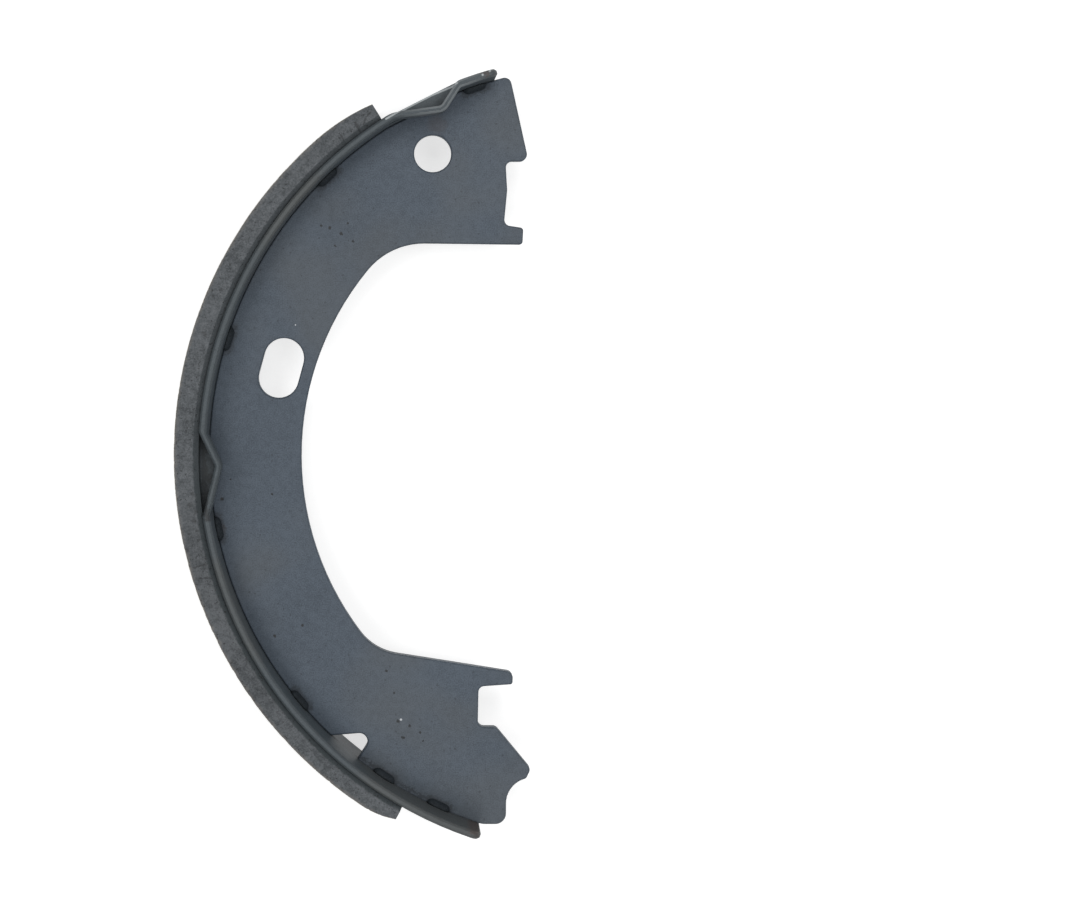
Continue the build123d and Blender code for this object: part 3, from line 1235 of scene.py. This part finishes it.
    def lay_chart(self, mesh: bpy.types.Mesh, arc: Array, run: Array) -> None:
        """Gives the block its UV map, in metres.

        Args:
            mesh: The block's mesh, its points in rows of one station each.
            arc: Each station's place along the face, which is U, as a column.
            run: Each point's way round the section, which is V.
        """
        flat = np.stack(np.broadcast_arrays(arc, run), axis=-1).reshape(-1, 2)
        loops = np.zeros(len(mesh.loops), np.int32)
        mesh.loops.foreach_get("vertex_index", loops)
        chart = mesh.uv_layers.new(name="arc_chart")
        chart.data.foreach_set("uv", flat[loops].astype(np.float32).ravel())

    def dress(self, mesh: bpy.types.Mesh, effects: Effects, drum_x: float, ground: Array) -> None:
        """Gives the ground face and the moulded rest their materials.

        Args:
            mesh: The block's mesh, its quads in rows between stations and its two ends last.
            effects: The shared node groups.
            drum_x: Where the drum's axis stands.
            ground: 1 where a point of the section belongs to the ground face.
        """
        axis = Vector((drum_x, self.middle_y, 0.0))
        centre = axis + Vector((self.bond_x, self.bond_y, 0.0))
        side = self.finish_side.make(effects, axis, centre, self.face_radius, self.bond_radius)
        mesh.materials.append(side)
        mesh.materials.append(self.finish_face.make(effects))
        moulded, polished = BlockFace.MOULDED.value, BlockFace.GROUND.value
        row = np.where(ground * np.roll(ground, -1), polished, moulded)
        places = np.full(len(mesh.polygons), moulded, np.int32)
        places[:-2] = np.tile(row, (places.size - 2) // row.size)
        mesh.polygons.foreach_set("material_index", places)
        mesh.shade_smooth()
        mesh.set_sharp_from_angle(angle=math.radians(self.smooth_below))
        mesh.update()

    def build(self, effects: Effects) -> bpy.types.Object:
        """Builds the block and dresses it.

        A station stands on each ray, and its section reaches from the ray's inner radius to its
        outer radius. Quads join neighbouring stations, and a face closes either end.

        Args:
            effects: The shared node groups.

        Returns:
            The block.
        """
        angle, inner, outer = self.rays()
        share, offset, height, ground = self.section()
        arc = angle * self.face_radius
        radius = inner + (outer - inner) * share + offset
        level = np.broadcast_to(height, radius.shape)
        skin = (share > 0) & (ground == 0)
        radius, level = self.weather(arc, outer, radius, level, skin)

        low_corner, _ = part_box("lining")
        drum_x = low_corner.x + self.face_radius
        x, y = drum_x - radius * np.cos(angle), self.middle_y + radius * np.sin(angle)
        points = np.stack([x, y, level], axis=-1).reshape(-1, 3)
        index = np.arange(radius.size).reshape(radius.shape)
        following = np.roll(index, -1, axis=1)
        quads = np.stack([index[:-1], following[:-1], following[1:], index[1:]], axis=-1)
        ends = [index[0][::-1].tolist(), index[-1].tolist()]
        block = new_mesh_object("friction_block", points, quads.reshape(-1, 4).tolist() + ends)

        steps = np.hypot(np.diff(height), np.diff(share * self.thickness + offset))
        self.lay_chart(block.data, arc, np.concatenate([[0], np.cumsum(steps)]))
        self.dress(block.data, effects, drum_x, ground)
        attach(block, "root")
        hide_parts("lining")
        return block


@dataclass
class PressedSteel:
    """The CAD nodes that keep their shape: web, rim and weld nuggets.

    Places and radii are in millimetres, angles in degrees about the rim's centre.
    """

    pits: tuple[Mark, ...] = (
        Spot(-8.0, 54.5, 0.35),
        Spot(-5.8, 54.0, 0.4),
        Spot(-1.5, 55.2, 0.35),
        Spot(-3.2, 52.6, 0.4),
        Spot(-0.3, 50.9, 0.35),
        Spot(-4.6, 49.7, 0.3),
        Spot(-32.0, -11.5, 0.5),
        Spot(-19.2, -44.6, 0.4),
        Spot(-12.6, -42.0, 0.35),
        Spot(7.8, -53.1, 0.3),
        Spot(9.6, -58.4, 0.35),
        Spot(10.7, -65.2, 0.5),
        Spot(13.45, -66.4, 0.4),
        Spot(16.0, -68.0, 0.35),
        Spot(11.8, -69.15, 0.45),
        Spot(16.7, -70.0, 0.25),
        Spot(-29.9, -6.8, 0.25),
        Spot(-19.8, -10.4, 0.25),
    )
    flecks_and_glints: tuple[Mark, ...] = (Spot(11.3, -64.85, 0.28), Spot(-14.2, 30.6, 0.16))
    heat_tints: tuple[Mark, ...] = (Spot(20.0, 78.9, 2.4), Spot(-32.3, -18.8, 1.5))
    # Where the end notch's arrises take a painted highlight.
    end_notch_highlight: tuple[Mark, ...] = (Spot(20.5, 87.5, 10.5),)
    rusty_tips: tuple[Mark, ...] = (Spot(31.3, 90.6, 1.2), Spot(28.9, -89.2, 1.6))
    # Painted glints at the rim's upper tip.
    tip_glints: tuple[Mark, ...] = (Spot(30.6, 90.0, 0.3), Spot(32.3, 91.0, 0.35))
    rim_centre: tuple[float, float] = (58.6, -0.6)
    rim_radius: float = 95.5
    weld_angles: tuple[float, ...] = (71.6, 45.8, 17.3, -11.2, -39.7, -56.6, -65.8)
    # Dark strokes along the web's corner with the rim: painted shade, with weld soot at the welds.
    corner_radius: float = 92.9
    weld_reach: float = 1.6
    weld_mark_width: float = 2.8
    corner_angles: tuple[float, ...] = (-52.0, -56.0, -60.0, -64.0, -67.0)
    corner_width: float = 0.9
    # The mid notch's pit, darkened as painted shade.
    hollow_radius: float = 94.5
    hollow_angles: tuple[float, ...] = (1.5, -3.5, -9.0)
    hollow_width: float = 1.6
    hollow_middle: Spot = Spot(-34.6, -6.0, 1.3)
    # A painted highlight line along the ridge's outer arris by the end notch.
    glint_radius: float = 94.95
    glint_angles: tuple[float, ...] = (57.6, 61.4, 65.2, 69.0)
    glint_width: float = 0.5

    def along_rim(
        self, radius: float, angles: tuple[float, ...], width: float
    ) -> tuple[Mark, ...]:
        """Strokes that follow the rim.

        Args:
            radius: Their distance from the rim's centre.
            angles: Angles between which each stroke runs straight.
            width: Width of the strokes.

        Returns:
            One stroke for each pair of neighbouring angles.
        """
        turns = [math.radians(angle) for angle in angles]
        x, y = self.rim_centre
        places = [(x - radius * math.cos(turn), y + radius * math.sin(turn)) for turn in turns]
        return tuple(Stroke(start, end, width) for start, end in zip(places, places[1:]))

    def corner_shade_and_weld_soot(self) -> tuple[Mark, ...]:
        """Dark strokes in the web's corner: painted shade along the lower arm, sooty marks with
        shade by each weld.

        Returns:
            The strokes.
        """
        strokes = self.along_rim(self.corner_radius, self.corner_angles, self.corner_width)
        for angle in self.weld_angles:
            ends = (angle - self.weld_reach, angle + self.weld_reach)
            strokes += self.along_rim(self.corner_radius, ends, self.weld_mark_width)
        return strokes

    def web_coat(self) -> Coat:
        """Coat of the web: blue-grey, with its pits, two bright specks, sooty welds and painted
        shade along the rim.

        Returns:
            The finish.
        """
        return Coat(
            "web_coat",
            dark="#37404a",
            light="#4f5a66",
            # Lighter arrises: wear and painted highlight.
            arris="#78828b",
            grime_and_shade="#13171b",
            contrast=1.3,
            # Painted shade in the web's corner with the rim.
            corner_shade_share=0.42,
            cast_share=0.26,
            stain_share=0.25,
            pits=self.pits,
            flecks_and_glints=self.flecks_and_glints,
            stains=self.heat_tints,
            soot_and_shade=self.corner_shade_and_weld_soot(),
        )

    def rim_coat(self) -> Coat:
        """Coat of the rim: grey; painted highlight at the end notch, rust and a painted glint at
        the tips.

        Returns:
            The finish.
        """
        # Painted highlight line by the end notch.
        bright = self.along_rim(self.glint_radius, self.glint_angles, self.glint_width)
        # Darkens the mid notch's pit as painted shade.
        hollow = self.along_rim(self.hollow_radius, self.hollow_angles, self.hollow_width)
        return Coat(
            "rim_coat",
            dark="#353c40",
            light="#4b5358",
            # Colour of the painted highlight at the end notch.
            arris="#858b8e",
            grime_and_shade="#1c1e20",
            # Colour of the painted glints and highlight line.
            fleck="#a9afb1",
            contrast=0.9,
            roundness=0.36 * MM,
            # Painted shade on the rolled edges' chamfers.
            shoulder_shade_share=0.15,
            edge_wear_and_highlight_share=0.0,
            stain_share=0.6,
            # Painted shade reaching 5 mm into the pits and onto the walls above the web.
            shade_reach=5.0 * MM,
            shade_onset=0.3,
            shade_full=0.85,
            corner_shade_share=0.8,
            # Painted highlight on the end notch's chamfers.
            notch_highlight_share=0.6,
            # Painted shade in the mid notch's pit.
            soot_and_shade_share=0.82,
            dot_share=0.1,
            stains=self.rusty_tips,
            notch_highlights=self.end_notch_highlight,
            flecks_and_glints=bright + self.tip_glints,
            soot_and_shade=(*hollow, self.hollow_middle),
            # Rim's outer face: bare steel lightened as a painted sheen.
            bond_face=BondFace(self.rim_centre, self.rim_radius),
        )

    def nugget_coat(self) -> Coat:
        """Coat of the weld nuggets: dark and matt, with painted shade in their corners.

        Returns:
            The finish.
        """
        return Coat(
            "nugget_coat",
            dark="#191e22",
            light="#2b3136",
            arris="#34373a",
            grime_and_shade="#0e0f10",
            contrast=1.4,
            cast_share=0.0,
            smooth=0.6,
            rough=0.75,
            sheen=0.15,
            bump=0.5,
            roundness=0.5 * MM,
            # Painted shade in the nuggets' corners.
            corner_shade_share=0.8,
        )

    def dress(self, effects: Effects) -> list[bpy.types.Object]:
        """Gives each node its coat.

        Args:
            effects: The shared node groups.

        Returns:
            The dressed nodes.
        """
        coats = {
            "web": self.web_coat(),
            "rim": self.rim_coat(),
            "weld_nuggets": self.nugget_coat(),
        }
        dressed = []
        for name, coat in coats.items():
            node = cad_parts[name]
            node.data.materials.clear()
            node.data.materials.append(coat.make(effects))
            dressed.append(node)
        return dressed


@dataclass(frozen=True)
class SoftBox:
    """A square area lamp that looks at the shoe's middle."""

    name: str
    place: tuple[float, float, float]
    size: float
    power: float

    def hang(self) -> bpy.types.Object:
        """Hangs the lamp.

        Returns:
            The lamp's object.
        """
        lamp = bpy.data.lights.new(self.name, "AREA")
        lamp.shape = "SQUARE"
        lamp.size = self.size
        lamp.energy = self.power
        made = bpy.data.objects.new(self.name, lamp)
        made.location = self.place
        made.rotation_euler = (-Vector(self.place)).to_track_quat("-Z", "Y").to_euler()
        bpy.context.scene.collection.objects.link(made)
        return made


@dataclass
class Studio:
    """White table, soft lamps, and the camera that looks straight down on the shoe.

    The lift is how strongly the table shines where it is seen. It grows away from the shoe, because
    the lamps light the table less there.
    """

    image_width: int = 1080
    image_height: int = 900
    lens: float = 77.36
    sensor: float = 36.0
    clip: tuple[float, float] = (0.01, 20.0)
    stand: tuple[float, float, float] = (7.455 * MM, 36.61 * MM, 575.6 * MM)
    stand_pixel: tuple[float, float] = (385.0, 300.0)
    table_half: float = 4.0
    table_gap: float = 0.02 * MM
    table_tone: float = 0.62
    table_roughness: float = 0.9
    lift: Ramp = Ramp(0.3, 1.5, 0.66, 0.85)
    sky: float = 0.3
    boxes: tuple[SoftBox, ...] = (
        SoftBox("left_box", (-0.45, 0.1, 0.98), 0.4, 2.1),
        SoftBox("right_box", (0.45, 0.05, 0.98), 0.4, 2.1),
        SoftBox("far_box", (0.05, 0.5, 0.98), 0.4, 2.1),
        SoftBox("near_box", (-0.05, -0.5, 0.98), 0.4, 1.8),
    )

    def seen(self, board: Board) -> Socket:
        """What is seen straight, in a reflection or through glass.

        Args:
            board: The material's or the world's board.

        Returns:
            Socket that is 1 there and 0 elsewhere.
        """
        path = board.node("ShaderNodeLightPath")
        kinds = ("Is Camera Ray", "Is Glossy Ray", "Is Transmission Ray")
        return board.largest([path.outputs[kind] for kind in kinds])

    def set_camera(self) -> bpy.types.Object:
        """Stands the camera upright over its own pixel; the shift frames the picture round it.

        Returns:
            The camera.
        """
        lens = bpy.data.cameras.new("camera")
        lens.lens = self.lens
        lens.sensor_width = self.sensor
        lens.shift_x = (self.image_width / 2 - self.stand_pixel[0]) / self.image_width
        lens.shift_y = (self.stand_pixel[1] - self.image_height / 2) / self.image_width
        lens.clip_start, lens.clip_end = self.clip
        camera = bpy.data.objects.new("camera", lens)
        camera.location = self.stand
        bpy.context.scene.collection.objects.link(camera)
        bpy.context.scene.camera = camera
        return camera

    def lay_table(self) -> bpy.types.Object:
        """Lays the white table, which takes the shoe's shadow and is lifted to white where seen.

        Returns:
            The table.
        """
        half, tone = self.table_half, self.table_tone
        sides = np.array([(-half, -half), (half, -half), (half, half), (-half, half)])
        corners = np.column_stack([sides, np.full(len(sides), -self.table_gap)])
        table = new_mesh_object("table", corners, [(0, 1, 2, 3)])
        material, board, shader, place = new_material("white_table")
        lift = board.ramp(board.measure("LENGTH", place), self.lift)
        board.feed_all(
            shader,
            Base_Color=(tone, tone, tone, 1.0),
            Roughness=self.table_roughness,
            Specular_IOR_Level=0.0,
            Emission_Color=WHITE,
            Emission_Strength=board.math("MULTIPLY", self.seen(board), lift),
        )
        table.data.materials.append(material)
        return table

    def light_sky(self) -> bpy.types.World:
        """Lights the even pale sky, which is white where it is seen.

        Returns:
            The world.
        """
        world = bpy.data.worlds.new("sky")
        world.use_nodes = True
        world.node_tree.nodes.clear()
        board = Board(world.node_tree)
        strength = board.span(self.seen(board), 0.0, 1.0, self.sky, 1.0)
        background = board.node("ShaderNodeBackground")
        board.feed_all(background, Color=WHITE, Strength=strength)
        output = board.node("ShaderNodeOutputWorld")
        board.feed(output.inputs["Surface"], background.outputs["Background"])
        bpy.context.scene.world = world
        return world

    def build(self) -> None:
        """Sets up the whole studio."""
        bpy.context.scene.view_settings.view_transform = "Standard"
        self.set_camera()
        self.lay_table()
        self.light_sky()
        for box in self.boxes:
            box.hang()


def main() -> None:
    """Builds the studio, the friction block and the finishes in order, and reports each piece."""
    logging.basicConfig(level=logging.INFO, format="%(name)s: %(message)s")
    effects = Effects(mottle_effect(), arris_effect(), recess_effect(), speckle_effect())
    Studio().build()
    block = FrictionBlock().build(effects)
    LOG.info("%s: %d faces", block.name, len(block.data.polygons))
    for node in PressedSteel().dress(effects):
        LOG.info("%s: %s", node.name, node.data.materials[0].name)


if __name__ == "__main__":
    main()
